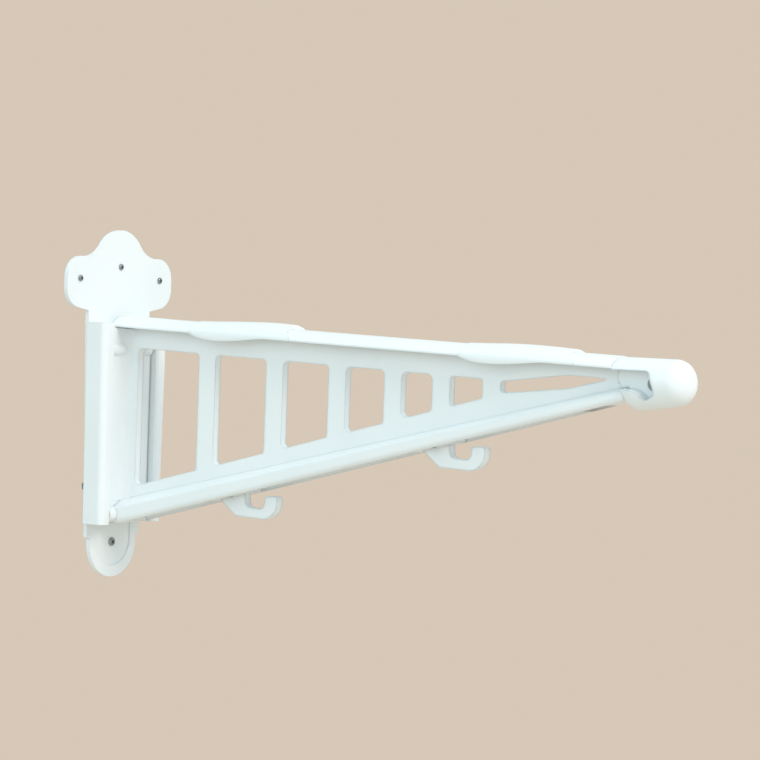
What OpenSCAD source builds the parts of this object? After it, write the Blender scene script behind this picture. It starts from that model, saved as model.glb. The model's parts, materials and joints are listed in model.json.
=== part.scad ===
// Fold-down drying rack arm for a wall. The arm hinges at its heel inside a wall channel and
// is held level by a catch bar near the top of the channel.
// Millimetres. The wall is the plane y = 0, the arm reaches along -y, and z is up.
// Side outlines are drawn as [distance from the wall, height], front outlines as [x, height].

/* [Wall plate] */
// Thickness of the plate
plate_t = 3.5; // [2.5:0.5:6]
// Radius of the round top of the plate
head_r = 29.7; // [26:0.1:32]
// Height of the middle head hole
head_hole_z = 111; // [106:1:116]
// Half the distance between the two side holes
side_hole_x = 48.7; // [45:0.1:52]
// Height of the two side holes
side_hole_z = 100.9; // [98:0.1:103]
// Half the width over the two ears
ear_x = 64; // [62:0.5:68]
// Height of the flat top of the ears
ear_top_z = 118.7; // [117:0.1:121]
// Height of the underside of the ears
ear_low_z = 80; // [77:0.5:82]
// Half the width of the plate just under the ears
neck_x = 37.5; // [36:0.5:39]
// Half the width of the plate at its shoulders, below the channel
shoulder_x = 32; // [30:0.5:34]
// Height of the shoulders
shoulder_z = -108; // [-112:0.5:-104]
// Radius of the round tongue
tongue_r = 28.45; // [26:0.05:29]
// Height of the tongue hole
tongue_hole_z = -112.25; // [-116:0.25:-110]
// Radius of the wall screw holes
screw_hole_r = 2.4; // [2:0.1:3]
// Radius of the round end of the tongue's recess
recess_r = 21.5; // [18:0.5:23]
// Depth of the tongue's recess
recess_deep = 1.3; // [0.6:0.1:2]

/* [Channel] */
// Height of the channel's top end
channel_top = 66.2; // [62:0.1:70]
// Height of the channel's foot
channel_foot = -95.9; // [-98:0.1:-94.5]
// Thickness of the channel's floor
floor_t = 5.5; // [4.5:0.1:6]
// Distance from the wall to the front of the cheeks
cheek_front = 23; // [21.5:0.5:28]
// Half the width of the groove
groove_x = 26.3; // [26.1:0.1:27]
// Thickness of a cheek at the top
cheek_t = 13; // [12:0.5:15]
// How much thinner a cheek is at the foot
cheek_taper = 2; // [0:0.1:2.5]
// Outer corner radius of the cheeks
cheek_r = 5; // [3:0.5:6]
// Wall left round the pockets in the back of the cheeks
core_wall = 3; // [2.5:0.1:3.5]

/* [Hinge and catch] */
// Radius of the hinge pin and of the catch bar
pin_r = 2.5; // [2:0.1:2.8]
// Distance from the wall to the hinge pin
pin_d = 15.7; // [15.6:0.1:16]
// Height of the hinge pin
pin_z = -88; // [-89:0.5:-87]
// Radius of the heel round the pin
heel_r = 6.2; // [5.6:0.1:6.3]
// Outside radius of the heel bushes
bush_r = 3.8; // [3.5:0.1:4]
// Length of a bush inside the heel
bush_len = 9; // [6:0.5:14]
// Distance from the wall to the catch bar
bar_d = 13.5; // [13:0.1:14]
// Height of the catch bar
bar_z = 44.5; // [38:0.5:48]
// Clearance between the catch bar and its jaw
jaw_gap = 0.3; // [0.2:0.05:0.4]
// Wall of the jaw round the catch bar
jaw_wall = 2.7; // [2.2:0.1:3.5]

/* [Arm] */
// Distance from the wall to the tip of the arm
reach = 536; // [520:1:560]
// Distance from the wall to the back of the arm
root_d = 9.5; // [9.4:0.1:9.6]
// Thickness of the root flange
root_t = 6.8; // [5:0.1:7.5]
// Half the width of the root flange
root_x = 25.4; // [25:0.1:25.6]
// Height of the rail's crown at the root
crown_root_z = 71.9; // [71:0.1:74]
// Fall of the crown for each millimetre outward
crown_fall = 0.0293; // [0.025:0.0005:0.034]
// Height of the chord's lower edge carried back to the wall
chord_low_z = -100.7; // [-101:0.1:-100]
// Rise of the chord's lower edge for each millimetre outward
chord_rise = 0.2611; // [0.255:0.0005:0.265]
// Height of the chord over its lower edge at the root
chord_h_root = 20; // [18:0.5:22]
// Height of the chord over its lower edge at the tip
chord_h_tip = 10.7; // [10:0.1:12]
// Half the width of the chord at the root
chord_x_root = 17; // [15:0.5:18]
// Half the width of the chord at the tip
chord_x_tip = 12.5; // [12:0.1:14]
// Radius of the chord's crowned top
chord_r = 22; // [20:0.5:26]
// Rounding of the chord's lower edges
chord_edge_r = 3.5; // [2:0.1:3.7]
// Wall of the hollow chord
chord_wall = 4; // [3.9:0.1:4.1]
// Thickness of the web
web_t = 6.5; // [5:0.1:7]
// Corner radius of the windows
window_r = 4; // [3:0.5:6]
// Distance from the wall to the first window
first_window_d = 28; // [27:0.5:30]

/* [Top rail] */
// Half the width of the rail
rail_x = 17.5; // [17:0.1:19]
// Radius of the rail's crown
rail_r = 24; // [23:0.5:28]
// Wall of the rail
rail_wall = 2.2; // [2:0.1:2.4]
// Depth of the rail from its crown to its lips
rail_deep = 9; // [8.9:0.1:11]
// Half the width of the head that the rail slides on
head_x = 10.5; // [10:0.1:11]
// Thickness of the head that the rail slides on
head_t = 2; // [1.6:0.1:2.2]
// How far each lip reaches under the head
lip_catch = 2; // [1:0.1:3]
// Clearance between sliding pieces of the arm
slide_gap = 0.2; // [0.1:0.05:0.3]

/* [Saddles] */
// Distance from the wall to the inner saddle
inner_saddle_d = 92; // [85:1:100]
// Length of the inner saddle
inner_saddle_len = 99; // [80:1:110]
// Greatest thickness of the inner saddle over the crown
inner_saddle_t = 3.4; // [2:0.1:6]
// Distance from the wall to the outer saddle
outer_saddle_d = 348; // [340:1:355]
// Length of the outer saddle
outer_saddle_len = 100; // [80:1:110]
// Greatest thickness of the outer saddle over the crown
outer_saddle_t = 2.2; // [1.6:0.1:4]
// Thickness of a saddle's sides
saddle_side = 1.2; // [1:0.1:3]
// How far a saddle hangs below the rail's lips
saddle_hang = 2.2; // [1:0.1:5]

/* [Hooks] */
// Distance from the wall to the throat of the inner hook
inner_hook_d = 151.5; // [145:0.5:158]
// Distance from the wall to the throat of the outer hook
outer_hook_d = 343.5; // [337:0.5:350]
// Thickness of a hook
hook_t = 7.5; // [6:0.1:8]
// Half the width of a hook's foot
foot_x = 9.5; // [9:0.1:10]
// Length of a hook's foot
foot_len = 36; // [30:0.5:38]
// Height of a hook's foot inside the chord
foot_h = 6.5; // [5:0.1:7]

/* [Nose] */
// Length of the nose cap
nose_len = 58; // [54:1:62]
// Radius of the nose cap at its back
nose_r = 20.1; // [19:0.1:21]
// Fall of the nose cap's radius for each millimetre outward
nose_taper = 0.071; // [0.05:0.001:0.09]
// Rise of the nose cap's axis for each millimetre outward
nose_rise = 0.068; // [0.05:0.001:0.08]
// Rounding of the nose cap's end
dome_r = 13.5; // [10:0.5:15]
// Rounding of the nose cap's back
nose_back_r = 17; // [14:0.5:18]
// Distance from the back of the nose cap to its screw
nose_screw_in = 30.5; // [29:0.5:31]
// Height of the nose screw
nose_screw_z = 39.4; // [38.5:0.1:40.5]
// Radius of the nose screw's head
nose_screw_head_r = 5.2; // [4.5:0.1:5.5]

/* [Hidden] */
$fn = 64;
run_gap = 0.05;         // clearance all round a shaft in its bore
seat_gap = 0.1;         // clearance where fixed pieces nest
far = 1000;             // longer than the rack, for cutting tools
floor_d = plate_t + floor_t;
channel_h = channel_top - channel_foot;
ear_top_r = 17;
ear_low_r = 16;
ear_fillet = 24;
ear_slope = 4.7;        // fall of an ear's underside toward the neck
neck_end_z = channel_top;
corner_r = 1.5;
recess_z = tongue_hole_z + 2.25;

plate_screw_r = 1.7;
plate_screw_head_r = 3.6;
plate_screw_sink = 1.8;
plate_screw_len = 12;
plate_screw_x = groove_x + (cheek_t - cheek_taper / 2) / 2;
plate_screw_zs = [-66, 26];
core_clear = 5;         // wall of a screw boss beside a pocket
lead_in = 1.5;
groove_r = 0.8;
ramp_clear = 0.5;
foot_ramp = 4;
pin_hold = 8;           // how far a pin enters each cheek
pin_end = groove_x + pin_hold;
plug_r = 4;
plug_sink = 0.3;

bush_flange = 0.5;
bush_flange_r = 5;
jaw_r = pin_r + jaw_gap;
jaw_lead = 1;
front_d = root_d + root_t;
stop_t = 2.8;           // lug behind the rail
toe_d = pin_d + 6;      // where the chord's lower edge begins
heel_end_d = pin_d + 12;

nose_d = reach - nose_len;
slot_end_d = nose_d - 11.5;
openings_d = slot_end_d - first_window_d;  // length that windows, posts and slot take up
opening_scale = openings_d / 438.5;
window_spans = [62.9, 50.5, 43.9, 35.9, 28, 28.8] * opening_scale;
post_spans = [16.9, 16.9, 16.7, 16.1, 16.2, 16] * opening_scale;    // each follows its window
window_rs = [1, 1, 1, 1, 1.35, 0.6] * window_r;
window_over_chord = 28.5;   // from the chord's lower edge to a window's sill
window_under_crown = 25.4;  // from the crown to a window's head
slot_start_d = window_start(len(window_spans));
slot_bend_d = slot_start_d + 0.64 * (slot_end_d - slot_start_d);
slot_over_chord = [16.4, 8.4, 8.2];     // at the slot's start, bend and tip
slot_under_crown = [25.9, 17.2, 17.3];
tang_start_d = nose_d - 8.5;
tang_end_d = nose_d + 41;
tang_low_z = 28.8;
rib_t = 2;
edge_bite = 0.05;       // keeps the edge rounding's seams clear of the flats

chord_end_d = nose_d + 9;   // the chord ends in a socket of the nose cap
chord_narrow = (chord_x_root - chord_x_tip) / (nose_d - front_d);
head_top_r = rail_r - rail_wall - slide_gap;
head_low_r = head_top_r - head_t;
lip_top = rail_r - sqrt(pow(head_low_r, 2) - pow(head_x, 2)) + slide_gap;

// A hook's outline from its throat, for a foot of 36
hook_line = [[-36, -7.5, 0], [-18.5, -20.4, 6], [22, -21.9, 14], [21.9, -2.5, 3], [9.8, -3.1, 3],
    [9.8, -13.9, 5.5], [-9.2, -12.7, 5], [-9.8, 1, 0]];
foot_mid = -22;         // middle of a hook's foot, measured from its throat
foot_screw_x = 6.9;
foot_screw_r = 1.5;
foot_screw_head_r = 2.4;
foot_screw_head_h = 1.6;
foot_screw_len = 12;

nose_step = 0.6;
nose_axis_z = crown(nose_d) - nose_step - nose_r;
nose_axis_len = nose_len / cos(atan(nose_rise));
nose_end_r = nose_r - nose_taper * nose_axis_len;
nose_back_in = 2;       // how far the lower part's back is set in
nose_behind = 8;        // how far the cap's form is carried back before it is cut
nose_screw_d = nose_d + nose_screw_in;
pocket_floor_x = 5.5;
nose_screw_r = 2.4;
nose_head_h = 3.4;
head_clear = 0.4;       // room round the screw's head in its seat
// The side pocket's outline, measured from the nose screw
pocket_line = [[0.2, 8.8, 4], [4.4, -3, 8], [4.9, -7.6, 3], [-3.6, -12, 2.5], [-7.6, -7, 3],
    [-14, -4.7, 8]];
nut_r = 4.6;
nut_t = 4;

// ---- lines of the arm, as heights at a distance from the wall ----
function crown(d) = crown_root_z - crown_fall * (d - root_d);
function chord_low(d) = chord_low_z + chord_rise * d;
function chord_h(d) = chord_h_root + (chord_h_tip - chord_h_root) * (d - front_d) / (nose_d - front_d);
function chord_top(d) = chord_low(d) + chord_h(d);
function sill(d) = chord_low(d) + window_over_chord;
function lintel(d) = crown(d) - window_under_crown;
function cheek_x(z) = groove_x + cheek_t - cheek_taper * (channel_top - z) / channel_h;

// ---- outlines ----
function total(list, n) = n == 0 ? 0 : list[n - 1] + total(list, n - 1);
function unit(v) = v / norm(v);
function corner(a, b, c, r, steps) = r == 0 ? [b] :
    let (u = unit(a - b), v = unit(c - b), half = acos(u * v) / 2,
        centre = b + unit(u + v) * r / sin(half),
        from = b + u * r / tan(half) - centre, to = b + v * r / tan(half) - centre,
        start = atan2(from[1], from[0]),
        turn = (atan2(to[1], to[0]) - start + 540) % 360 - 180)
    [for (i = [0:steps]) centre + r * [cos(start + turn * i / steps), sin(start + turn * i / steps)]];
// Outline through corners [x, y, radius]
function rounded(c, steps = 8) = let (n = len(c)) [for (i = [0:n - 1])
    let (a = c[(i + n - 1) % n], b = c[i], d = c[(i + 1) % n])
    each corner([a[0], a[1]], [b[0], b[1]], [d[0], d[1]], b[2], steps)];
function both_sides(half) = concat(half,
    [for (i = [len(half) - 1:-1:0]) [-half[i][0], half[i][1], half[i][2]]]);
function window_start(i) = first_window_d + total(window_spans, i) + total(post_spans, i);
function window(i) =
    let (a = window_start(i), b = a + window_spans[i], r = window_rs[i])
    rounded([[a, sill(a), r], [b, sill(b), r / 1.6], [b, lintel(b), r], [a, lintel(a), r]]);
function slot_window() = let (a = slot_start_d, b = slot_bend_d, c = slot_end_d)
    rounded([[a, chord_top(a) + slot_over_chord[0], 3], [b, chord_top(b) + slot_over_chord[1], 40],
    [c, chord_top(c) + slot_over_chord[2], 0.3], [c, crown(c) - slot_under_crown[2], 0.3],
    [b, crown(b) - slot_under_crown[1], 40], [a, crown(a) - slot_under_crown[0], 3]]);
function tang(grow = 0) = rounded([[tang_start_d, crown(tang_start_d) - 5, 0],
    [tang_end_d + grow, crown(tang_end_d) - 5 + grow, 6], [tang_end_d + grow, tang_low_z - grow, 6],
    [chord_end_d, tang_low_z - grow, 0], [tang_start_d, chord_top(tang_start_d) - 3, 0]]);

// ---- ways of extruding ----
// An outline [d, z], extruded sideways between two values of x
module side(x0, x1) translate([x1, 0, 0]) rotate([90, 0, -90]) linear_extrude(height = x1 - x0) children();
module across(w) side(-w / 2, w / 2) children();
// An outline [x, z], extruded outward between two distances from the wall
module front(d0, d1) translate([0, -d0, 0]) rotate([90, 0, 0]) linear_extrude(height = d1 - d0) children();
// An outline [x, height], extruded along a line that starts at d0 and z0 and rises outward
module along(d0, d1, z0, rise) {
    angle = atan(rise);
    over = 5;
    intersection() {
        translate([0, -d0, z0]) rotate([90 - angle, 0, 0]) translate([0, 0, -over])
            linear_extrude(height = (d1 - d0) / cos(angle) + 2 * over) children();
        translate([-far / 2, -d1, -far / 2]) cube([far, d1 - d0, far]);
    }
}
// A rod along x
module rod(d, z, r, x0, x1) translate([x0, -d, z]) rotate([0, 90, 0]) cylinder(r = r, h = x1 - x0);
// A tube skinned over rings of points, closed at both ends
module loft(rings) {
    n = len(rings[0]);
    polyhedron(points = [for (ring = rings) each ring], faces = concat(
        [[for (i = [0:n - 1]) i]],
        [for (k = [0:len(rings) - 2], i = [0:n - 1])
            [k * n + i, (k + 1) * n + i, (k + 1) * n + (i + 1) % n, k * n + (i + 1) % n]],
        [[for (i = [n - 1:-1:0]) (len(rings) - 1) * n + i]]));
}

// ---- wall plate ----
module ear_blend() {
    centre = [sqrt(pow(head_r + ear_fillet, 2) - pow(ear_top_z + ear_fillet - head_hole_z, 2)),
        ear_top_z + ear_fillet];
    head = [0, head_hole_z];
    difference() {
        polygon([[centre[0], ear_top_z], head + unit(centre - head) * head_r, head,
            [centre[0], head_hole_z]]);
        translate(centre) circle(r = ear_fillet);
    }
}

module plate_form() {
    step_x = sqrt(pow(tongue_r, 2) - pow(shoulder_z - tongue_hole_z, 2));
    front(0, plate_t) translate([0, head_hole_z]) circle(r = head_r);
    front(0, plate_t) ear_blend();
    front(0, plate_t) mirror([1, 0]) ear_blend();
    front(0, plate_t) polygon(rounded(both_sides([
        [ear_x, ear_top_z, ear_top_r], [ear_x, ear_low_z, ear_low_r],
        [neck_x, ear_low_z - ear_slope, 1], [neck_x, neck_end_z, 0],
        [shoulder_x, channel_foot, 0], [shoulder_x, shoulder_z, corner_r],
        [step_x, shoulder_z, 0], [step_x, tongue_hole_z, 0]])));
    front(0, plate_t) translate([0, tongue_hole_z]) circle(r = tongue_r);
}

module wall_plate() color("white") difference() {
    plate_form();
    front(-1, plate_t + 1) {
        for (s = [-1, 1]) translate([s * side_hole_x, side_hole_z]) circle(r = screw_hole_r);
        translate([0, head_hole_z]) circle(r = screw_hole_r);
        translate([0, tongue_hole_z]) circle(r = screw_hole_r);
    }
    front(plate_t - recess_deep, plate_t + 1) {
        translate([0, recess_z]) circle(r = recess_r);
        translate([-recess_r, recess_z]) square([2 * recess_r, channel_foot - recess_z]);
    }
    at_plate_screws() {
        cylinder(r = plate_screw_r + seat_gap, h = plate_t + 1);
        translate([0, 0, -1]) cylinder(r = plate_screw_head_r + seat_gap, h = 1 + seat_gap);
        translate([0, 0, seat_gap])
            cylinder(r1 = plate_screw_head_r + seat_gap, r2 = plate_screw_r + seat_gap,
            h = plate_screw_sink);
    }
}

// ---- channel ----
module at_plate_screws() for (s = [-1, 1], z = plate_screw_zs)
    translate([s * plate_screw_x, 0, z]) rotate([90, 0, 0]) children();

module cheek_block() {
    lean = atan(cheek_taper / channel_h);
    intersection() {
        translate([groove_x + cheek_t, 0, channel_top]) rotate([0, lean, 0])
            translate([0, 0, -channel_h - 5]) linear_extrude(height = channel_h + 10)
            polygon(rounded([[-cheek_t - 4, -plate_t, 0], [0, -plate_t, 0],
                [0, -cheek_front, cheek_r], [-cheek_t - 4, -cheek_front, 0]]));
        translate([0, -far / 2, channel_foot]) cube([far, far, channel_h]);
    }
}

module groove_outline() polygon(rounded([
    [-groove_x, -floor_d, groove_r], [-groove_x, lead_in - cheek_front, 0],
    [-groove_x - lead_in - 1, -cheek_front - 1, 0], [groove_x + lead_in + 1, -cheek_front - 1, 0],
    [groove_x, lead_in - cheek_front, 0], [groove_x, -floor_d, groove_r]]));

// Pockets that core out the cheeks from behind, clear of the screws
module cheek_cores() {
    low = plate_screw_zs[0] + core_clear;
    high = plate_screw_zs[1] - core_clear;
    wide = cheek_t - cheek_taper - 2 * core_wall;
    long = (high - low - core_wall) / 2;
    for (s = [0, 1], z = [low, high - long]) mirror([s, 0, 0])
        translate([groove_x + core_wall, core_wall - cheek_front, z])
        cube([wide, cheek_front - core_wall - plate_t + 1, long]);
}

module pin_bore(d, z) {
    rod(d, z, pin_r + run_gap, -pin_end - seat_gap, far);
    rod(d, z, plug_r + run_gap, pin_end + seat_gap, far);
}

module channel() color("white") difference() {
    union() {
        cheek_block();
        mirror([1, 0, 0]) cheek_block();
        translate([-groove_x - 1, -floor_d - 1, channel_foot])
            cube([2 * groove_x + 2, floor_t + 1, channel_h]);
    }
    translate([0, 0, channel_foot - 1]) linear_extrude(height = channel_h + 2) groove_outline();
    across(2 * groove_x) polygon([[floor_d, pin_z - ramp_clear], [floor_d + 1, pin_z - ramp_clear],
        [floor_d + 1, channel_foot - 1], [floor_d - foot_ramp, channel_foot - 1],
        [floor_d - foot_ramp, channel_foot]]);
    cheek_cores();
    at_plate_screws() cylinder(r = plate_screw_r + run_gap, h = plate_screw_len + 1);
    pin_bore(pin_d, pin_z);
    pin_bore(bar_d, bar_z);
}

module channel_screws() color("silver") at_plate_screws() {
    translate([0, 0, seat_gap]) cylinder(r1 = plate_screw_head_r, r2 = plate_screw_r, h = plate_screw_sink);
    cylinder(r = plate_screw_r, h = plate_screw_len);
}

module hinge_pin() color("silver") rod(pin_d, pin_z, pin_r, -pin_end, pin_end);

module catch_bar() color("silver") rod(bar_d, bar_z, pin_r, -pin_end, pin_end);

module bore_plugs() color("white") {
    rod(pin_d, pin_z, plug_r, pin_end + seat_gap, cheek_x(pin_z) - plug_sink);
    rod(bar_d, bar_z, plug_r, pin_end + seat_gap, cheek_x(bar_z) - plug_sink);
}

// ---- arm ----
// The chord's solid form, grown by a clearance where another piece takes it. Its lower edge
// drops by its own amount, so that a hollow can open downward.
module chord_form(grow = 0, end_d = chord_end_d, drop = 0) {
    rise = (chord_top(nose_d) - chord_top(front_d)) / (nose_d - front_d);
    intersection() {
        along(pin_d, end_d + grow, chord_top(pin_d), rise)
            translate([0, -chord_r]) circle(r = chord_r + grow);
        across(far) polygon([[pin_d, pin_z - heel_r - drop], [toe_d, chord_low(toe_d) - drop],
            [end_d + grow, chord_low(end_d) - drop], [end_d + grow, far / 2], [pin_d, far / 2]]);
        translate([0, 0, -far / 2]) linear_extrude(height = far)
            polygon([[-chord_x_root - grow, -pin_d], [chord_x_root + grow, -pin_d],
                [chord_x_root + grow - chord_narrow * (end_d - pin_d), -end_d - grow],
                [-chord_x_root - grow + chord_narrow * (end_d - pin_d), -end_d - grow]]);
    }
}

// What rounds off the chord's two lower edges, from outside
module chord_edges() for (s = [0, 1]) mirror([s, 0, 0])
    translate([chord_x_root, -pin_d, chord_low(pin_d)])
    rotate([90 - atan(chord_rise), 0, -atan(chord_narrow)]) linear_extrude(height = far) difference() {
        translate([edge_bite - chord_edge_r, -5]) square([chord_edge_r + 5, chord_edge_r + 5 - edge_bite]);
        translate([edge_bite - chord_edge_r, chord_edge_r - edge_bite]) circle(r = chord_edge_r);
    }

// A block across the chord between two distances, over a height above its lower edge
module over_chord(d0, d1, h) across(far) polygon([[d0, chord_low(d0) + h], [d1, chord_low(d1) + h],
    [d1, far / 2], [d0, far / 2]]);

// The chord is open underneath, with a rib below each post and a seat over each hook's foot
module chord_hollow() difference() {
    intersection() {
        chord_form(-chord_wall, nose_d - chord_wall, 1);
        over_chord(heel_end_d, nose_d - chord_wall, -2);
    }
    for (i = [1:len(window_spans) - 1]) {
        middle = window_start(i) - post_spans[i - 1] / 2;
        over_chord(middle - rib_t / 2, middle + rib_t / 2, foot_h + seat_gap);
    }
    for (d = [inner_hook_d, outer_hook_d])
        over_chord(d + foot_mid - foot_len / 2 - 2, d + foot_mid + foot_len / 2 + 2, foot_h + seat_gap);
}

module arm_frame() color("white") difference() {
    union() {
        difference() {
            chord_form();
            chord_edges();
        }
        across(web_t) polygon([[root_d + 1, crown(root_d) - rail_wall - head_t],
            [nose_d, crown(nose_d) - rail_wall - head_t], [nose_d, chord_top(nose_d) - 2],
            [front_d, chord_top(front_d) - 2], [root_d + 1, pin_z]]);
        across(web_t) polygon(tang());
        rail_head();
        root_flange();
        rod(pin_d, pin_z, heel_r, -root_x, root_x);
    }
    chord_hollow();
    for (i = [0:len(window_spans) - 1]) across(web_t + 1) polygon(window(i));
    across(web_t + 1) polygon(slot_window());
    across(2 * root_x + 1) jaw_slot();
    rod(pin_d, pin_z, pin_r + jaw_gap, -far, far);
    for (s = [0, 1]) mirror([s, 0, 0]) rod(pin_d, pin_z, bush_r, root_x - bush_len, far);
    rod(nose_screw_d, nose_screw_z, nose_screw_r + seat_gap, -far, far);
    for (d = [inner_hook_d, outer_hook_d])
        at_foot_screws(d) cylinder(r = foot_screw_r + run_gap, h = foot_screw_len);
}

// The crowned head on the web's top edge, with the lug that stops the rail
module rail_head() {
    along(root_d, nose_d, crown(root_d), -crown_fall) intersection() {
        translate([0, -rail_r]) difference() {
            circle(r = head_top_r);
            circle(r = head_low_r);
        }
        translate([-head_x, -rail_r]) square([2 * head_x, rail_r]);
    }
    along(root_d, root_d + stop_t, crown(root_d), -crown_fall) rail_outline();
}

module root_flange() {
    top = crown(root_d + root_t) - rail_deep - 2 * slide_gap;
    across(2 * root_x) polygon([[root_d, pin_z], [front_d, pin_z], [front_d, top], [root_d, top]]);
    across(2 * (head_x - lip_catch) - 2 * slide_gap) polygon([[root_d, top - 1], [front_d, top - 1],
        [front_d, crown(front_d) - rail_wall - head_t], [root_d, crown(root_d) - rail_wall - head_t]]);
    intersection() {
        rod(bar_d, bar_z, jaw_r + jaw_wall, -root_x, root_x);
        translate([-far / 2, -far, -far / 2]) cube([far, far - root_d, far]);
    }
}

module jaw_slot() {
    translate([bar_d, bar_z]) circle(r = jaw_r);
    translate([root_d - 1, bar_z - jaw_r]) square([bar_d - root_d + 1, 2 * jaw_r]);
    polygon([[root_d - 1, bar_z - jaw_r - 2 * jaw_lead], [root_d + jaw_lead, bar_z - jaw_r],
        [root_d + jaw_lead, bar_z + jaw_r], [root_d - 1, bar_z + jaw_r + 2 * jaw_lead]]);
}

module heel_bushes() color("gainsboro") for (s = [0, 1]) mirror([s, 0, 0]) difference() {
    union() {
        rod(pin_d, pin_z, bush_r - run_gap, root_x - bush_len + seat_gap, root_x + bush_flange);
        rod(pin_d, pin_z, bush_flange_r, root_x, root_x + bush_flange);
    }
    rod(pin_d, pin_z, pin_r + run_gap, 0, far);
}

// ---- rail and saddles ----
module rail_outline() intersection() {
    translate([0, -rail_r]) circle(r = rail_r);
    translate([-rail_x, -rail_deep]) square([2 * rail_x, rail_deep]);
}

module top_rail() color("white")
    along(root_d + stop_t + seat_gap, nose_d - seat_gap, crown(root_d + stop_t + seat_gap), -crown_fall)
    difference() {
        rail_outline();
        intersection() {
            translate([0, -rail_r]) circle(r = rail_r - rail_wall);
            translate([-rail_x, -lip_top]) square([2 * rail_x, lip_top]);
        }
        translate([lip_catch - head_x, -rail_deep - 1])
            square([2 * (head_x - lip_catch), rail_deep - lip_top + 2]);
    }

// Points of a saddle's section along an arc about the crown's centre, from one angle to another
function crown_arc(r, from, to, steps = 14) =
    [for (i = [0:steps]) let (a = from + (to - from) * i / steps) [r * sin(a), r * cos(a) - rail_r]];

// A clip-on saddle that swells toward its outer end and stops there in a step, lower with a fuller
// turn. Its sides hang lower over the first part of its length.
module saddle(wanted_d, length, swell, full_turn) {
    start_d = min(wanted_d, nose_d - length - 10);
    hang_share = 0.8;
    stations = 22;
    edge_t = 0.8;
    in_r = rail_r + seat_gap;
    in_x = rail_x + seat_gap;
    out_x = in_x + saddle_side;
    bevel = 0.8 * saddle_side;
    in_arc = asin(in_x / in_r * 0.995);
    loft([for (k = [0:stations])
        let (u = (1 - cos(180 * k / stations)) / 2,
            d = start_d + u * length,
            out_r = rail_r + edge_t + (swell - edge_t) * sin(full_turn * u),
            out_arc = asin(min(out_x / out_r, 0.99)),
            low = -rail_deep - saddle_hang * (1 - pow(abs(2 * min(u / hang_share, 1) - 1), 6)))
        [for (p = concat(crown_arc(out_r, out_arc, -out_arc),
            [[-out_x, low + bevel], [bevel - out_x, low], [-in_x, low]],
            crown_arc(in_r, -in_arc, in_arc),
            [[in_x, low], [out_x - bevel, low], [out_x, low + bevel]])) [p[0], -d, crown(d) + p[1]]]]);
}

module inner_saddle() color("white") saddle(inner_saddle_d, inner_saddle_len, inner_saddle_t, 112);

module outer_saddle() color("white") saddle(outer_saddle_d, outer_saddle_len, outer_saddle_t, 165);

// ---- hooks ----
module at_foot_screws(d) for (s = [-1, 1])
    translate([s * foot_screw_x, -d - foot_mid, chord_low(d + foot_mid) - 1]) children();

module hook(d) difference() {
    union() {
        translate([0, -d, chord_low(d)]) across(hook_t) polygon(rounded(hook_line * foot_len / 36));
        translate([0, -d, chord_low(d)]) across(2 * foot_x)
            polygon([for (p = [[-1, 0], [1, 0], [1, foot_h], [-1, foot_h]])
                let (from_throat = foot_mid + p[0] * foot_len / 2)
                [from_throat, chord_rise * from_throat + p[1]]]);
    }
    at_foot_screws(d) {
        cylinder(r = foot_screw_r + run_gap, h = foot_screw_len);
        translate([0, 0, -foot_len])
            cylinder(r = foot_screw_head_r + seat_gap, h = foot_len + foot_screw_head_h + 1);
    }
}

module inner_hook() color("white") hook(inner_hook_d);

module outer_hook() color("white") hook(outer_hook_d);

module hook_screws() color("silver") for (d = [inner_hook_d, outer_hook_d]) at_foot_screws(d) {
    translate([0, 0, 1]) cylinder(r = foot_screw_head_r, h = foot_screw_head_h);
    translate([0, 0, 1]) cylinder(r = foot_screw_r, h = foot_screw_len - 2);
}

// ---- nose ----
module on_nose_axis() translate([0, -nose_d, nose_axis_z]) rotate([90 - atan(nose_rise), 0, 0])
    rotate_extrude() children();

// What rounds off the cap's back, turned about its axis
module nose_back_outline() {
    behind = 2 * nose_behind;
    inset = nose_back_in - 3 * edge_bite;
    centre = [nose_r - nose_back_r * (1 + nose_taper) + 3 * edge_bite, nose_back_r + inset];
    difference() {
        translate([0, -behind]) square([nose_r + behind, behind + nose_back_r + nose_back_in]);
        translate(centre) circle(r = nose_back_r);
        translate([-1, inset]) square([centre[0] + 1, nose_back_r + behind]);
    }
}

// The cap's upper part runs straight back to the rail and its lower part ends in a round back
module nose_form() difference() {
    on_nose_axis() polygon(rounded([[0, -nose_behind, 0],
        [nose_r + nose_taper * nose_behind, -nose_behind, 0],
        [nose_end_r, nose_axis_len, min(dome_r, nose_end_r - 1)], [0, nose_axis_len, 0]], 16));
    across(far) polygon([[0, 0], [nose_d, 0], [nose_d, far], [0, far]]);
    intersection() {
        on_nose_axis() nose_back_outline();
        across(far) polygon([[0, 0], [reach, 0], [reach, nose_axis_z + 1], [0, nose_axis_z + 1]]);
    }
}

module pocket_outline() polygon([
    for (p = rounded([[-nose_screw_in - 5, pocket_line[0][1], 0], each pocket_line, [-nose_screw_in - 5, -4, 0]]))
    p + [nose_screw_d, nose_screw_z]]);

module nose_cap() color("white") difference() {
    nose_form();
    for (s = [0, 1]) mirror([s, 0, 0]) {
        side(pocket_floor_x, far) pocket_outline();
        rod(nose_screw_d, nose_screw_z, nose_screw_head_r + head_clear, pocket_floor_x,
            pocket_floor_x + nose_head_h + 1);
    }
    across(web_t + 2 * slide_gap) polygon(tang(slide_gap));
    chord_form(seat_gap, chord_end_d, seat_gap);
    rod(nose_screw_d, nose_screw_z, nose_screw_r + seat_gap, -far, far);
}

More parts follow.
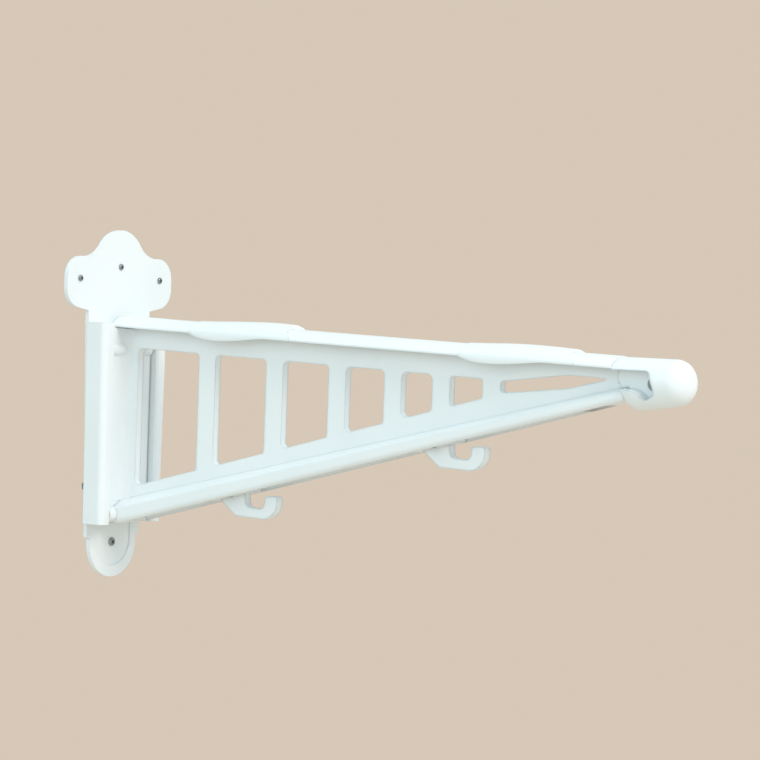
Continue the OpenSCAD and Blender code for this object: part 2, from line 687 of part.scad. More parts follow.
module nose_screw() color("silver") translate([-pocket_floor_x, -nose_screw_d, nose_screw_z]) {
    rotate([0, -90, 0]) rotate_extrude()
        polygon(rounded([[0, 0, 0], [nose_screw_head_r, 0, 0], [nose_screw_head_r, nose_head_h, 2],
            [0, nose_head_h, 0]]));
    rotate([0, 90, 0]) cylinder(r = nose_screw_r, h = 2 * pocket_floor_x + nut_t + 0.5);
}

module nose_nut() color("silver") difference() {
    rod(nose_screw_d, nose_screw_z, nut_r, pocket_floor_x, pocket_floor_x + nut_t, $fn = 6);
    rod(nose_screw_d, nose_screw_z, nose_screw_r + run_gap, 0, far);
}

wall_plate();
channel();
channel_screws();
hinge_pin();
catch_bar();
bore_plugs();
arm_frame();
heel_bushes();
top_rail();
inner_saddle();
outer_saddle();
inner_hook();
outer_hook();
hook_screws();
nose_cap();
nose_screw();
nose_nut();
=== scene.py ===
import json
import math

import bmesh
import bpy
from mathutils import Matrix, Vector


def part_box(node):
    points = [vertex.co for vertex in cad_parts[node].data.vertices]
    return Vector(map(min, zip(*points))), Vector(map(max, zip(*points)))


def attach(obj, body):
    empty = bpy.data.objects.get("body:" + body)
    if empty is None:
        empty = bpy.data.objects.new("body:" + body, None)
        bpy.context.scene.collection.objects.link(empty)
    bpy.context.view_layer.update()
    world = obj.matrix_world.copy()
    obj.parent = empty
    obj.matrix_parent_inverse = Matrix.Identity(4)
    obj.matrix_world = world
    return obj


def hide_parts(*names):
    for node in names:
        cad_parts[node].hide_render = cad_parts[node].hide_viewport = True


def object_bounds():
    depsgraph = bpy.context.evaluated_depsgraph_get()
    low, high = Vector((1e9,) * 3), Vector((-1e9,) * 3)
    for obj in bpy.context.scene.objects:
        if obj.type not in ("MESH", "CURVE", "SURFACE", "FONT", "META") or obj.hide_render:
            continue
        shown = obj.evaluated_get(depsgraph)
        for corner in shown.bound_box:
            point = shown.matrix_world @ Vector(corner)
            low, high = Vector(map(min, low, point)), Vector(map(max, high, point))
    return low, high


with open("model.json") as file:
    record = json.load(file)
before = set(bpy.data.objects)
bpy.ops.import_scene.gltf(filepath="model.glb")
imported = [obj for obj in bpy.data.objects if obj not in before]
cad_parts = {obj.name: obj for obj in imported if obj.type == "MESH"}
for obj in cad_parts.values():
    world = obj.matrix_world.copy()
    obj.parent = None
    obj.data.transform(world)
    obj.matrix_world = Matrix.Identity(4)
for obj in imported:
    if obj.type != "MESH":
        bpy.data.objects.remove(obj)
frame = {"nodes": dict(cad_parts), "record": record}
cadLow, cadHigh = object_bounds()
scene = bpy.context.scene
print("frame loaded:", len(frame["nodes"]), "nodes")


cameraSetup = {
    "place": (-1.75416, -1.52254, 0.09739),  # metres, from the middle of the plate's back
    "aim": (0.0, -0.2655, 0.0312),
    "roll": 1.937,  # degrees about the line of sight
    "lens": 134.92, "sensor": 36,  # mm
    "clip": (0.05, 60),
}


def makeCamera(setup):
    data = bpy.data.cameras.new("rackCamera")
    data.lens, data.sensor_width = setup["lens"], setup["sensor"]
    data.clip_start, data.clip_end = setup["clip"]
    camera = bpy.data.objects.new("rackCamera", data)
    place = Vector(setup["place"])
    look = (Vector(setup["aim"]) - place).to_track_quat("-Z", "Y").to_matrix()
    turn = look @ Matrix.Rotation(math.radians(setup["roll"]), 3, "Z")
    camera.matrix_world = Matrix.Translation(place) @ turn.to_4x4()
    scene.collection.objects.link(camera)
    scene.camera = camera


makeCamera(cameraSetup)
print("camera set")


def newMaterial(name):
    material = bpy.data.materials.new(name)
    material.use_nodes = True
    tree = material.node_tree
    tree.nodes.clear()
    output = tree.nodes.new("ShaderNodeOutputMaterial")
    shader = tree.nodes.new("ShaderNodeBsdfPrincipled")
    tree.links.new(shader.outputs["BSDF"], output.inputs["Surface"])
    return material, tree, shader


def pieceSpace(tree, stretch=(1, 1, 1)):
    # the piece's own coordinates in metres, and a small stretch draws the pattern out along that axis
    spot = tree.nodes.new("ShaderNodeTexCoord")
    mapping = tree.nodes.new("ShaderNodeMapping")
    mapping.inputs["Scale"].default_value = stretch
    tree.links.new(spot.outputs["Object"], mapping.inputs["Vector"])
    return mapping.outputs["Vector"]


def noise(tree, vector, values):
    # values are the scale, the detail and the roughness of the noise
    node = tree.nodes.new("ShaderNodeTexNoise")
    for name, value in zip(("Scale", "Detail", "Roughness"), values):
        node.inputs[name].default_value = value
    tree.links.new(vector, node.inputs["Vector"])
    return node.outputs["Fac"]


def spread(tree, value, low, high, source=(0.3, 0.7)):
    # the source range becomes low to high, and most of a noise lies between 0.3 and 0.7
    node = tree.nodes.new("ShaderNodeMapRange")
    limits = {"From Min": source[0], "From Max": source[1], "To Min": low, "To Max": high}
    for name, limit in limits.items():
        node.inputs[name].default_value = limit
    tree.links.new(value, node.inputs["Value"])
    return node.outputs["Result"]


def mixColour(tree, share, colourA, colourB):
    # share is a socket, and each colour is a socket or three numbers
    node = tree.nodes.new("ShaderNodeMix")
    node.data_type = "RGBA"
    inputs = {socket.identifier: socket for socket in node.inputs}
    tree.links.new(share, inputs["Factor_Float"])
    for name, colour in (("A_Color", colourA), ("B_Color", colourB)):
        if isinstance(colour, bpy.types.NodeSocket):
            tree.links.new(colour, inputs[name])
        else:
            inputs[name].default_value = (*colour, 1)
    return next(socket for socket in node.outputs if socket.identifier == "Result_Color")


def roundedEdges(tree, radius, samples=6):
    node = tree.nodes.new("ShaderNodeBevel")
    node.samples = samples
    node.inputs["Radius"].default_value = radius
    return node.outputs["Normal"]


def bump(tree, height, depth, normal, strength=1.0):
    node = tree.nodes.new("ShaderNodeBump")
    node.inputs["Strength"].default_value = strength
    node.inputs["Distance"].default_value = depth
    tree.links.new(height, node.inputs["Height"])
    tree.links.new(normal, node.inputs["Normal"])
    return node.outputs["Normal"]


def paintedCornerShade(tree, body, look, samples=8):
    # painted shade: the body's colour, turned towards the corner tint where the ambient occlusion node
    # finds surfaces meeting
    node = tree.nodes.new("ShaderNodeAmbientOcclusion")
    node.samples = samples
    node.inputs["Distance"].default_value = look["cornerReach"]
    share = spread(tree, node.outputs["AO"], look["cornerShare"], 0, look["cornerRange"])
    return mixColour(tree, share, body, look["paintedShadeTint"])


# each noise is its scale, detail and roughness, and the depths, the reach and the edge are in metres
# the corner tint, reach, share and range paint shade into the colour in corners, creases and recesses
plateLook = {
    "tint": (0.88, 0.90, 0.91), "deepTint": (0.84, 0.87, 0.885), "paintedShadeTint": (0.64, 0.70, 0.73),
    "cloud": (14, 4, 0.55), "gloss": (0.30, 0.40), "ior": 1.49,
    "wave": (60, 2, 0.4), "waveDepth": 0.00012, "waveBump": 0.6,
    "grain": (900, 2, 0.6), "grainDepth": 0.00002, "grainBump": 0.5,
    "edge": 0.0007, "cornerReach": 0.004, "cornerShare": 0.14, "cornerRange": (0.2, 0.9),
    "stretch": (1, 1, 1),
}
armLook = dict(plateLook, tint=(0.885, 0.91, 0.92), deepTint=(0.845, 0.88, 0.895), wave=(45, 2, 0.4),
               edge=0.003)
filletLook = dict(armLook, edge=0.0001, cornerShare=0.0)
railLook = dict(armLook, stretch=(1, 0.08, 1), wave=(140, 2, 0.4), waveDepth=0.00006, gloss=(0.24, 0.34),
                edge=0.0005)
bushLook = dict(plateLook, tint=(0.80, 0.79, 0.74), deepTint=(0.74, 0.73, 0.68), gloss=(0.42, 0.55),
                edge=0.0003)


def whitePlastic(name, look):
    material, tree, shader = newMaterial(name)
    space = pieceSpace(tree, look["stretch"])
    cloud, wave, grain = (noise(tree, space, look[layer]) for layer in ("cloud", "wave", "grain"))
    body = mixColour(tree, spread(tree, cloud, 0, 1), look["tint"], look["deepTint"])
    # painted shade: the base colour darkens where surfaces meet
    tree.links.new(paintedCornerShade(tree, body, look), shader.inputs["Base Color"])
    tree.links.new(spread(tree, wave, *look["gloss"]), shader.inputs["Roughness"])
    soft = bump(tree, wave, look["waveDepth"], roundedEdges(tree, look["edge"]), look["waveBump"])
    fine = bump(tree, grain, look["grainDepth"], soft, look["grainBump"])
    tree.links.new(fine, shader.inputs["Normal"])
    shader.inputs["IOR"].default_value = look["ior"]
    return material


# the corner tint, reach, share and range paint dark shade into the steel's corners and cross recesses
pinLook = {
    "tint": (0.62, 0.62, 0.61), "deepTint": (0.50, 0.50, 0.50), "paintedShadeTint": (0.12, 0.12, 0.12),
    "stain": (320, 3, 0.6), "gloss": (0.18, 0.30), "edge": 0.0002,
    "streak": (1, 3, 0.6), "streakScale": (900, 60, 900), "streakDepth": 0.00001,
    "cornerReach": 0.0012, "cornerShare": 0.8, "cornerRange": (0.2, 0.9),
}
screwLook = dict(pinLook, tint=(0.42, 0.50, 0.53), deepTint=(0.24, 0.30, 0.33), gloss=(0.28, 0.45),
                 streakScale=(260, 260, 260), streakDepth=0.00002)


def steel(name, look):
    material, tree, shader = newMaterial(name)
    streaks = noise(tree, pieceSpace(tree, look["streakScale"]), look["streak"])
    stain = noise(tree, pieceSpace(tree), look["stain"])
    body = mixColour(tree, spread(tree, stain, 0, 1), look["tint"], look["deepTint"])
    # painted shade: the steel's colour darkens where surfaces meet
    tree.links.new(paintedCornerShade(tree, body, look), shader.inputs["Base Color"])
    tree.links.new(spread(tree, streaks, *look["gloss"]), shader.inputs["Roughness"])
    fine = bump(tree, streaks, look["streakDepth"], roundedEdges(tree, look["edge"]))
    tree.links.new(fine, shader.inputs["Normal"])
    shader.inputs["Metallic"].default_value = 1.0
    return material


finishes = {
    "plate": whitePlastic("platePlastic", plateLook),
    "arm": whitePlastic("armPlastic", armLook),
    "rail": whitePlastic("railPlastic", railLook),
    "fillet": whitePlastic("filletPlastic", filletLook),
    "bush": whitePlastic("bushPlastic", bushLook),
    "pin": steel("groundPin", pinLook),
    "screw": steel("platedScrew", screwLook),
}
nodeFinish = {
    "plate": ("wall_plate", "channel", "bore_plugs"),
    "arm": ("arm_frame", "inner_hook", "outer_hook", "nose_cap"),
    "rail": ("top_rail", "inner_saddle", "outer_saddle"),
    "bush": ("heel_bushes",),
    "pin": ("hinge_pin", "catch_bar"),
    "screw": ("channel_screws", "hook_screws", "nose_screw", "nose_nut"),
}
for finish, nodeNames in nodeFinish.items():
    for nodeName in nodeNames:
        for slot in frame["nodes"][nodeName].material_slots:
            slot.material = finishes[finish]
print("finishes on", sum(len(nodeNames) for nodeNames in nodeFinish.values()), "nodes")


def armPiece(name, points, faces, finish, sharp=35, replaced=None):
    # a smooth plastic piece on the arm, which stays sharp where faces meet at more than the sharp angle
    mesh = bpy.data.meshes.new(name)
    mesh.from_pydata(points, [], faces)
    form = bmesh.new()
    form.from_mesh(mesh)
    bmesh.ops.recalc_face_normals(form, faces=form.faces[:])
    form.to_mesh(mesh)
    form.free()
    mesh.shade_smooth()
    mesh.set_sharp_from_angle(angle=math.radians(sharp))
    mesh.materials.append(finishes[finish])
    piece = bpy.data.objects.new(name, mesh)
    scene.collection.objects.link(piece)
    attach(piece, "arm")
    if replaced:
        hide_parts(replaced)


def skin(rings, ends=None):
    # points and faces of a tube over rings of points, each end closed by one face or by the given faces
    n = len(rings[0])
    faces = []
    for first in (0, (len(rings) - 1) * n):
        faces += [[first + i for i in face] for face in ends or [range(n)]]
    for start in range(0, (len(rings) - 1) * n, n):
        for i in range(n):
            j = (i + 1) % n
            faces.append([start + i, start + j, start + n + j, start + n + i])
    return [point for ring in rings for point in ring], faces


def crownLine(tip=0.0005):
    # height of the rail's crown at any y, from the points within the tip of the rail's two ends
    spots = [vertex.co for vertex in frame["nodes"]["top_rail"].data.vertices]
    ends = [pick(spot.y for spot in spots) for pick in (max, min)]
    heights = [max(spot.z for spot in spots if abs(spot.y - end) < tip) for end in ends]
    return lambda y: heights[0] + (heights[1] - heights[0]) * (y - ends[0]) / (ends[1] - ends[0])


# lengths are in metres, places along a saddle are shares of its length, and the rest are powers
saddleShape = {
    "crownR": 0.024, "gap": 0.0001, "side": 0.0006, "deep": 0.009,  # deep from the crown to the lips
    "thin": 0.0001, "swell": 1.4, "round": 0.8,  # swell along the saddle, round across it
    "hangEnd": 0.73, "hangLean": 0.65, "hangSwell": 1.1, "lipCut": (0.0002, 0.0004),
    "rakeFrom": 0.55, "rakeGrowth": 2, "rakeBend": 4,
    "stations": 48, "arcSteps": 20, "sharp": 60,
}
innerSaddle = dict(saddleShape, node="inner_saddle", thick=0.0031, end=0.0026, peak=0.80,
                   hang=0.0045, rake=0.0080)
outerSaddle = dict(saddleShape, node="outer_saddle", thick=0.0022, end=0.0014, peak=0.55,
                   hang=0.0041, rake=0.0085)


def saddleRise(shape, u):
    # height over the rail's crown, which swells up to the peak and then falls to the end's small step
    if u < shape["peak"]:
        swell = math.sin(math.pi / 2 * u / shape["peak"]) ** shape["swell"]
        return shape["thin"] + (shape["thick"] - shape["thin"]) * swell
    fall = math.acos(shape["end"] / shape["thick"])
    return shape["thick"] * math.cos(fall * (u - shape["peak"]) / (1 - shape["peak"]))


def saddleSection(shape, u, innerX):
    # one closed outline of x and z, over the crown and down to lips that hang below the rail's own
    rise = saddleRise(shape, u)
    turn = min(u / shape["hangEnd"], 1) ** shape["hangLean"]
    lip = -shape["deep"] - shape["hang"] * max(0, math.sin(math.pi * turn)) ** shape["hangSwell"]
    innerR = shape["crownR"] + shape["gap"]
    innerArc = math.asin(innerX / innerR)
    outer, inner = [], []
    for i in range(shape["arcSteps"] + 1):
        share = 1 - 2 * i / shape["arcSteps"]
        angle = innerArc * share
        thick = shape["side"]
        if abs(share) < 1:
            thick = rise * math.cos(math.pi / 2 * share) ** shape["round"] + shape["side"]
        reach = innerR + thick
        outer.append((reach * math.sin(angle), reach * math.cos(angle) - shape["crownR"]))
        inner.append((-innerR * math.sin(angle), innerR * math.cos(angle) - shape["crownR"]))
    outerX = outer[0][0]
    cutX, cutZ = shape["lipCut"]
    farLip = [(-outerX, lip + cutZ), (-outerX + cutX, lip), (-innerX, lip)]
    nearLip = [(innerX, lip), (outerX - cutX, lip), (outerX, lip + cutZ)]
    return outer + farLip + inner + nearLip


def makeSaddle(name, shape, crownAt):
    # u runs from 0 at the root end to 1 at the nose end, which the rake cuts back in the middle
    low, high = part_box(shape["node"])
    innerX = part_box("top_rail")[1][0] + shape["gap"]
    rings = []
    for k in range(shape["stations"] + 1):
        u = (1 - math.cos(math.pi * k / shape["stations"])) / 2
        y = high[1] + (low[1] - high[1]) * u
        section = saddleSection(shape, u, innerX)
        outerX = section[0][0]
        late = max(0, (u - shape["rakeFrom"]) / (1 - shape["rakeFrom"]))
        rake = shape["rake"] * late ** shape["rakeGrowth"]
        ring = [(x, y + rake * max(0, 1 - (x / outerX) ** shape["rakeBend"]), z) for x, z in section]
        rings.append([(x, along, crownAt(along) + z) for x, along, z in ring])
    # each end is closed by strips between the outer and the inner line, down the legs and over the arch
    steps = shape["arcSteps"]
    legs = [[steps + k for k in range(5)], [2 * steps + 4 + k for k in range(4)] + [0]]
    arch = [[i, i + 1, 2 * steps + 3 - i, 2 * steps + 4 - i] for i in range(steps)]
    armPiece(name, *skin(rings, arch + legs), "rail", shape["sharp"], shape["node"])


crownAt = crownLine()
makeSaddle("innerSaddle", innerSaddle, crownAt)
makeSaddle("outerSaddle", outerSaddle, crownAt)

rootFillet = {
    "radius": 0.009, "webX": 0.00325, "bite": 0.00008,  # the bite sinks it into the web and the flange
    "flangeBehindPin": 0.0019, "overPin": 0.008, "underCrown": 0.0102, "steps": 14,
}


def makeRootFillets(values, crownAt):
    # the round that runs from the root flange into the web, on both sides
    pinLow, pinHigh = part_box("hinge_pin")
    flangeFront = pinLow[1] + values["flangeBehindPin"]
    foot = pinHigh[2] + values["overPin"]
    top = crownAt(flangeFront) - values["underCrown"]
    inside, radius = values["webX"] - values["bite"], values["radius"] + values["bite"]
    centre = (inside + radius, flangeFront + values["bite"] - radius)
    outline = [(inside, flangeFront + values["bite"])]
    for i in range(values["steps"] + 1):
        angle = math.pi / 2 * (1 + i / values["steps"])
        outline.append((centre[0] + radius * math.cos(angle), centre[1] + radius * math.sin(angle)))
    points, faces = [], []
    for side in (-1, 1):
        sidePoints, sideFaces = skin([[(side * x, y, z) for x, y in outline] for z in (foot, top)])
        faces += [[index + len(points) for index in face] for face in sideFaces]
        points += sidePoints
    armPiece("rootFillets", points, faces, "fillet")


makeRootFillets(rootFillet, crownAt)
print("saddles and root fillets made")


def formObject(name, form):
    # the finished form as an object, with its faces outwards
    bmesh.ops.recalc_face_normals(form, faces=form.faces[:])
    mesh = bpy.data.meshes.new(name)
    form.to_mesh(mesh)
    form.free()
    return bpy.data.objects.new(name, mesh)


recessShape = {  # shares of the recess's radius and depth
    "thin": 0.26, "over": 0.3, "overWide": 1.06, "tipWide": 0.42,
    "weld": 0.000008,  # metres, because the cut leaves very short edges
}


def crossRecess(radius, deep, shape):
    # two tapered blades that cut a cross into a head, widest at the top
    form = bmesh.new()
    ends = ((deep * shape["over"], shape["overWide"]), (-deep, shape["tipWide"]))
    square = ((-1, -1), (1, -1), (1, 1), (-1, 1))
    thin = radius * shape["thin"]
    corners = [(s * radius * f, t * thin * f, z) for z, f in ends for s, t in square]
    for turn in (0, 90):
        blade = Matrix.Rotation(math.radians(turn), 3, "Z")
        ring = [form.verts.new(blade @ Vector(corner)) for corner in corners]
        for face in ((0, 1, 2, 3), (7, 6, 5, 4), (0, 4, 5, 1), (1, 5, 6, 2), (2, 6, 7, 3), (3, 7, 4, 0)):
            form.faces.new([ring[i] for i in face])
    return formObject("crossRecess", form)


def lathe(name, profile, sides=32):
    # [radius, height] turned about Z, closed on the axis at both ends
    form = bmesh.new()
    turns = [math.tau * k / sides for k in range(sides)]
    rings = []
    for radius, height in profile:
        if radius == 0:
            rings.append([form.verts.new((0, 0, height))])
        else:
            rings.append([form.verts.new((radius * math.cos(turn), radius * math.sin(turn), height))
                          for turn in turns])
    for low, high in zip(rings, rings[1:]):
        for k in range(sides):
            j = (k + 1) % sides
            corners = [low[k % len(low)], low[j % len(low)], high[j % len(high)], high[k % len(high)]]
            form.faces.new(list(dict.fromkeys(corners)))
    return formObject(name, form)


def flatten(piece):
    # the piece keeps its evaluated mesh as a plain one, and its modifiers go
    graph = bpy.context.evaluated_depsgraph_get()
    mesh = bpy.data.meshes.new_from_object(piece.evaluated_get(graph), depsgraph=graph)
    mesh.name = piece.name
    piece.modifiers.clear()
    piece.data = mesh


def screwPattern(name, screw, bendSteps=6, domeRings=(0.66, 0.33, 0)):
    # a screw standing on its seat at z = 0, head up, shank down
    profile = [(0, -screw["shank"]), (screw["shankR"], -screw["shank"])]
    if screw["sunk"]:
        profile += [(screw["shankR"], -screw["headH"]), (screw["headR"], 0)]
    else:
        profile += [(screw["shankR"], 0), (screw["headR"], 0)]
        for k in range(bendSteps + 1):
            turn = math.radians(90 * k / bendSteps)
            profile.append((screw["headR"] - screw["round"] * (1 - math.cos(turn)),
                            screw["headH"] - screw["round"] * (1 - math.sin(turn))))
    rimR, rimZ = profile[-1]
    dome = [(rimR * f, rimZ + screw["crown"] * (1 - f * f)) for f in domeRings]
    pattern = lathe(name, profile + dome)
    cutter = crossRecess(screw["recessR"], screw["recessDeep"], recessShape)
    cutter.location = (0, 0, rimZ + screw["crown"])
    for thing in (pattern, cutter):
        scene.collection.objects.link(thing)
    cut = pattern.modifiers.new("recess", "BOOLEAN")
    cut.operation, cut.solver, cut.object, cut.use_self = "DIFFERENCE", "EXACT", cutter, True
    flatten(pattern)
    bpy.data.objects.remove(cutter)
    form = bmesh.new()
    form.from_mesh(pattern.data)
    bmesh.ops.remove_doubles(form, verts=form.verts[:], dist=recessShape["weld"])
    bmesh.ops.triangulate(form, faces=form.faces[:])
    form.to_mesh(pattern.data)
    form.free()
    return pattern


def screwTree():
    # a screw on each seat, turned to face the seat's way and spun by chance, then realized and painted
    tree = bpy.data.node_groups.new("seatScrews", "GeometryNodeTree")
    for name, kind in (("Seats", "Geometry"), ("Screw", "Object"), ("Turn Spread", "Float"),
                       ("Seed", "Int"), ("Finish", "Material")):
        tree.interface.new_socket(name, in_out="INPUT", socket_type="NodeSocket" + kind)
    tree.interface.new_socket("Screws", in_out="OUTPUT", socket_type="NodeSocketGeometry")
    add, link = tree.nodes.new, tree.links.new
    start, end = add("NodeGroupInput"), add("NodeGroupOutput")
    points, info = add("GeometryNodeMeshToPoints"), add("GeometryNodeObjectInfo")
    place, turn = add("GeometryNodeInstanceOnPoints"), add("GeometryNodeRotateInstances")
    facing, align = add("GeometryNodeInputNamedAttribute"), add("FunctionNodeAlignRotationToVector")
    chance, spin = add("FunctionNodeRandomValue"), add("FunctionNodeAxisAngleToRotation")
    plain, paint = add("GeometryNodeRealizeInstances"), add("GeometryNodeSetMaterial")
    facing.data_type = "FLOAT_VECTOR"
    facing.inputs["Name"].default_value = "facing"
    align.axis = "Z"
    chance.data_type = "FLOAT"
    chanceMost = next(socket for socket in chance.inputs if socket.identifier == "Max_001")
    chanceValue = next(socket for socket in chance.outputs if socket.identifier == "Value_001")
    link(start.outputs["Seats"], points.inputs["Mesh"])
    link(points.outputs["Points"], place.inputs["Points"])
    link(start.outputs["Screw"], info.inputs["Object"])
    link(info.outputs["Geometry"], place.inputs["Instance"])
    link(facing.outputs["Attribute"], align.inputs["Vector"])
    link(align.outputs["Rotation"], place.inputs["Rotation"])
    link(start.outputs["Turn Spread"], chanceMost)
    link(start.outputs["Seed"], chance.inputs["Seed"])
    link(chanceValue, spin.inputs["Angle"])
    link(place.outputs["Instances"], turn.inputs["Instances"])
    link(spin.outputs["Rotation"], turn.inputs["Rotation"])
    link(turn.outputs["Instances"], plain.inputs["Geometry"])
    link(plain.outputs["Geometry"], paint.inputs["Geometry"])
    link(start.outputs["Finish"], paint.inputs["Material"])
    link(paint.outputs["Geometry"], end.inputs["Screws"])
    return tree


seatTree = screwTree()
turnSpread = math.pi / 2  # a cross looks the same again after a quarter turn


def seatScrews(name, screw, seats, body, replaced=None):
    # seats: [place, direction that the head faces]. The pattern comes first, because making it evaluates
    # the scene, and the modifier's inputs are set before its own first evaluation.
    pattern = screwPattern(name + "Pattern", screw)
    mesh = bpy.data.meshes.new(name)
    mesh.from_pydata([place for place, facing in seats], [], [])
    attribute = mesh.attributes.new("facing", "FLOAT_VECTOR", "POINT")
    for item, (place, facing) in zip(attribute.data, seats):
        item.vector = facing
    piece = bpy.data.objects.new(name, mesh)
    scene.collection.objects.link(piece)
    modifier = piece.modifiers.new("seats", "NODES")
    modifier.node_group = seatTree
    values = {"Screw": pattern, "Turn Spread": turnSpread, "Seed": screw["seed"],
              "Finish": finishes["screw"]}
    for item in seatTree.interface.items_tree:
        if item.item_type == "SOCKET" and item.in_out == "INPUT" and item.name in values:
            modifier[item.identifier] = values[item.name]
    flatten(piece)
    piece.data.shade_flat()
    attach(piece, body)
    if replaced:
        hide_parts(replaced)
    bpy.data.objects.remove(pattern)


# wall screws: two in the ears, one in the round top, and a wider one in the tongue's recess
wallScrew = {"headR": 0.0025, "headH": 0.0016, "round": 0.0011, "crown": 0.0003, "shankR": 0.0020,
             "shank": 0.0021, "recessR": 0.0016, "recessDeep": 0.0015, "sunk": False, "seed": 4}
tongueScrew = dict(wallScrew, headR=0.0035, recessR=0.0021, seatSink=0.0013, seed=5)
mounts = {mount["name"]: mount for mount in frame["record"]["mounts"]}
ears, centre = mounts["ear_screws"], mounts["centre_screws"]
earX, earZ = ears["dims"]["spacing_x_mm"] / 2000, ears["pos_m"][2]  # half the spacing, in metres
halfHeight, middleZ = centre["dims"]["spacing_y_mm"] / 2000, centre["pos_m"][2]
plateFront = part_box("wall_plate")[0][1]
outward = (0, -1, 0)
wallSeats = [((-earX, plateFront, earZ), outward), ((earX, plateFront, earZ), outward),
             ((0, plateFront, middleZ + halfHeight), outward)]
tongueSeat = [((0, plateFront + tongueScrew["seatSink"], middleZ - halfHeight), outward)]
seatScrews("wallScrews", wallScrew, wallSeats, "bracket")
seatScrews("tongueScrew", tongueScrew, tongueSeat, "bracket")

# the nose screw lies across the nose, its head on the side at low x
noseLow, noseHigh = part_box("nose_screw")
noseScrew = {"headR": (noseHigh[2] - noseLow[2]) / 2, "headH": 0.0030, "round": 0.0020, "crown": 0.0004,
             "shankR": 0.0024, "recessR": 0.0030, "recessDeep": 0.0021, "sunk": False, "seed": 9}
headTall = noseScrew["headH"] + noseScrew["crown"]
noseScrew["shank"] = noseHigh[0] - noseLow[0] - headTall
noseSeat = (noseLow[0] + headTall, (noseLow[1] + noseHigh[1]) / 2, (noseLow[2] + noseHigh[2]) / 2)
seatScrews("noseScrew", noseScrew, [(noseSeat, (-1, 0, 0))], "arm", "nose_screw")

# channel screws: heads sunk into the plate's back, two into each cheek of the channel
channelScrew = {"headR": 0.0036, "headH": 0.0018, "round": 0, "crown": 0, "shankR": 0.0017,
                "shank": 0.0119, "recessR": 0.0019, "recessDeep": 0.0013, "sunk": True,
                "seatSink": 0.0001, "seed": 12}
channelLow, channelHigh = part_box("channel_screws")
columnX = channelHigh[0] - channelScrew["headR"]
rows = [channelLow[2] + channelScrew["headR"], channelHigh[2] - channelScrew["headR"]]
channelSeats = [((side * columnX, -channelScrew["seatSink"], z), (0, 1, 0))
                for side in (-1, 1) for z in rows]
seatScrews("channelScrews", channelScrew, channelSeats, "bracket", "channel_screws")

# hook screws: up into the arm from below, one on each side of each hook
hookScrew = {"headR": 0.0024, "headH": 0.0016, "round": 0.0006, "crown": 0.0, "shankR": 0.0015,
             "shank": 0.0084, "recessR": 0.0013, "recessDeep": 0.0009, "sunk": False, "seed": 21}
hookLow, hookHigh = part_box("hook_screws")
footX = hookHigh[0] - hookScrew["headR"]
innerSeat = (hookHigh[1] - hookScrew["headR"], hookLow[2] + hookScrew["headH"])
outerSeat = (hookLow[1] + hookScrew["headR"], hookHigh[2] - hookScrew["shank"])
hookSeats = [((side * footX, y, z), (0, 0, -1)) for side in (-1, 1) for y, z in (innerSeat, outerSeat)]
seatScrews("hookScrews", hookScrew, hookSeats, "arm", "hook_screws")
print("screws seated")


studio = {
    "floorDrop": 0.50,  # metres under the rack at rest, so that the folded arm clears the floor
    "floorSize": 30, "floorTint": (0.68, 0.59, 0.50), "floorRough": 0.85,
    "mottle": (3, 2, 0.5), "mottleShade": 0.985,
    "fade": (0.7, 2.2), "backTint": (0.68, 0.58, 0.475),
    "skyTint": (0.80, 0.955, 1.0), "skyStrength": 0.955,
}
lampAim = (0, -0.25, 0)
lamps = {
    "keyLamp": {"place": (-0.5, -2.8, 2.0), "size": 1.6, "power": 47, "tint": (1.0, 0.95, 0.92)},
    "fillLamp": {"place": (-2.6, -0.3, 0.9), "size": 2.0, "power": 12, "tint": (0.72, 0.93, 1.0)},
}


def cameraOrGlossy(tree):
    # 1 for what the camera sees directly, in metal or through glass
    path = tree.nodes.new("ShaderNodeLightPath")
    value = path.outputs["Is Camera Ray"]
    for name in ("Is Glossy Ray", "Is Transmission Ray"):
        most = tree.nodes.new("ShaderNodeMath")
        most.operation = "MAXIMUM"
        tree.links.new(value, most.inputs[0])
        tree.links.new(path.outputs[name], most.inputs[1])
        value = most.outputs[0]
    return value


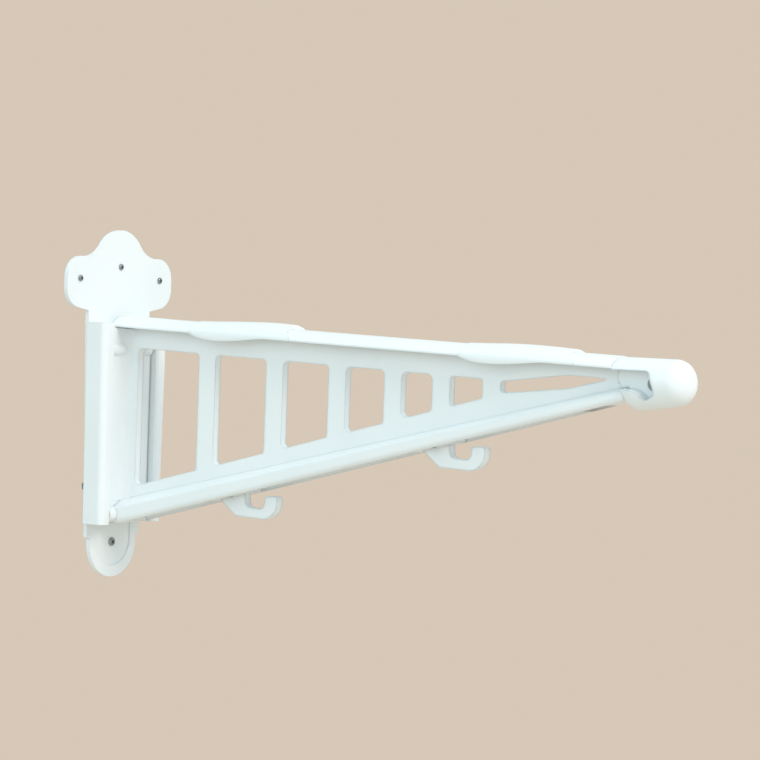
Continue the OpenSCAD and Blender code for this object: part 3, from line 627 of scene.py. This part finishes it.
def makeFloor(values):
    size, height = values["floorSize"], cadLow[2] - values["floorDrop"]
    corners = [(x * size, y * size, height) for x, y in ((-1, -1), (1, -1), (1, 1), (-1, 1))]
    mesh = bpy.data.meshes.new("floor")
    mesh.from_pydata(corners, [], [(0, 1, 2, 3)])
    floor = bpy.data.objects.new("floor", mesh)
    material, tree, shader = newMaterial("paleFloor")
    mottle = spread(tree, noise(tree, pieceSpace(tree), values["mottle"]), 0, 1)
    shade = tuple(part * values["mottleShade"] for part in values["floorTint"])
    tree.links.new(mixColour(tree, mottle, values["floorTint"], shade), shader.inputs["Base Color"])
    shader.inputs["Roughness"].default_value = values["floorRough"]
    # far from the rack the floor turns into the backdrop, so that no horizon shows
    away = tree.nodes.new("ShaderNodeVectorMath")
    away.operation = "LENGTH"
    tree.links.new(pieceSpace(tree), away.inputs[0])
    share = tree.nodes.new("ShaderNodeMath")
    share.operation = "MULTIPLY"
    tree.links.new(spread(tree, away.outputs["Value"], 0, 1, values["fade"]), share.inputs[0])
    tree.links.new(cameraOrGlossy(tree), share.inputs[1])
    glow, mix = tree.nodes.new("ShaderNodeEmission"), tree.nodes.new("ShaderNodeMixShader")
    glow.inputs["Color"].default_value = (*values["backTint"], 1)
    tree.links.new(share.outputs[0], mix.inputs["Fac"])
    tree.links.new(shader.outputs["BSDF"], mix.inputs[1])
    tree.links.new(glow.outputs["Emission"], mix.inputs[2])
    tree.links.new(mix.outputs["Shader"], tree.nodes["Material Output"].inputs["Surface"])
    mesh.materials.append(material)
    scene.collection.objects.link(floor)


def makeSky(values):
    # the sky lights the rack, and the camera sees the plain backdrop instead
    world = bpy.data.worlds.new("studio")
    scene.world = world
    world.use_nodes = True
    tree = world.node_tree
    tree.nodes.clear()
    output, mix = tree.nodes.new("ShaderNodeOutputWorld"), tree.nodes.new("ShaderNodeMixShader")
    light, seen = tree.nodes.new("ShaderNodeBackground"), tree.nodes.new("ShaderNodeBackground")
    light.inputs["Color"].default_value = (*values["skyTint"], 1)
    light.inputs["Strength"].default_value = values["skyStrength"]
    seen.inputs["Color"].default_value = (*values["backTint"], 1)
    tree.links.new(cameraOrGlossy(tree), mix.inputs["Fac"])
    tree.links.new(light.outputs["Background"], mix.inputs[1])
    tree.links.new(seen.outputs["Background"], mix.inputs[2])
    tree.links.new(mix.outputs["Shader"], output.inputs["Surface"])


def makeLamp(name, values, aim):
    data = bpy.data.lights.new(name, "AREA")
    data.shape, data.size = "DISK", values["size"]
    data.energy, data.color = values["power"], values["tint"]
    lamp = bpy.data.objects.new(name, data)
    lamp.location = values["place"]
    lamp.rotation_mode = "QUATERNION"
    lamp.rotation_quaternion = (Vector(aim) - Vector(values["place"])).to_track_quat("-Z", "Y")
    scene.collection.objects.link(lamp)


makeFloor(studio)
makeSky(studio)
for lampName, values in lamps.items():
    makeLamp(lampName, values, lampAim)
scene.view_settings.view_transform = "Standard"
print("floor and lamps set")
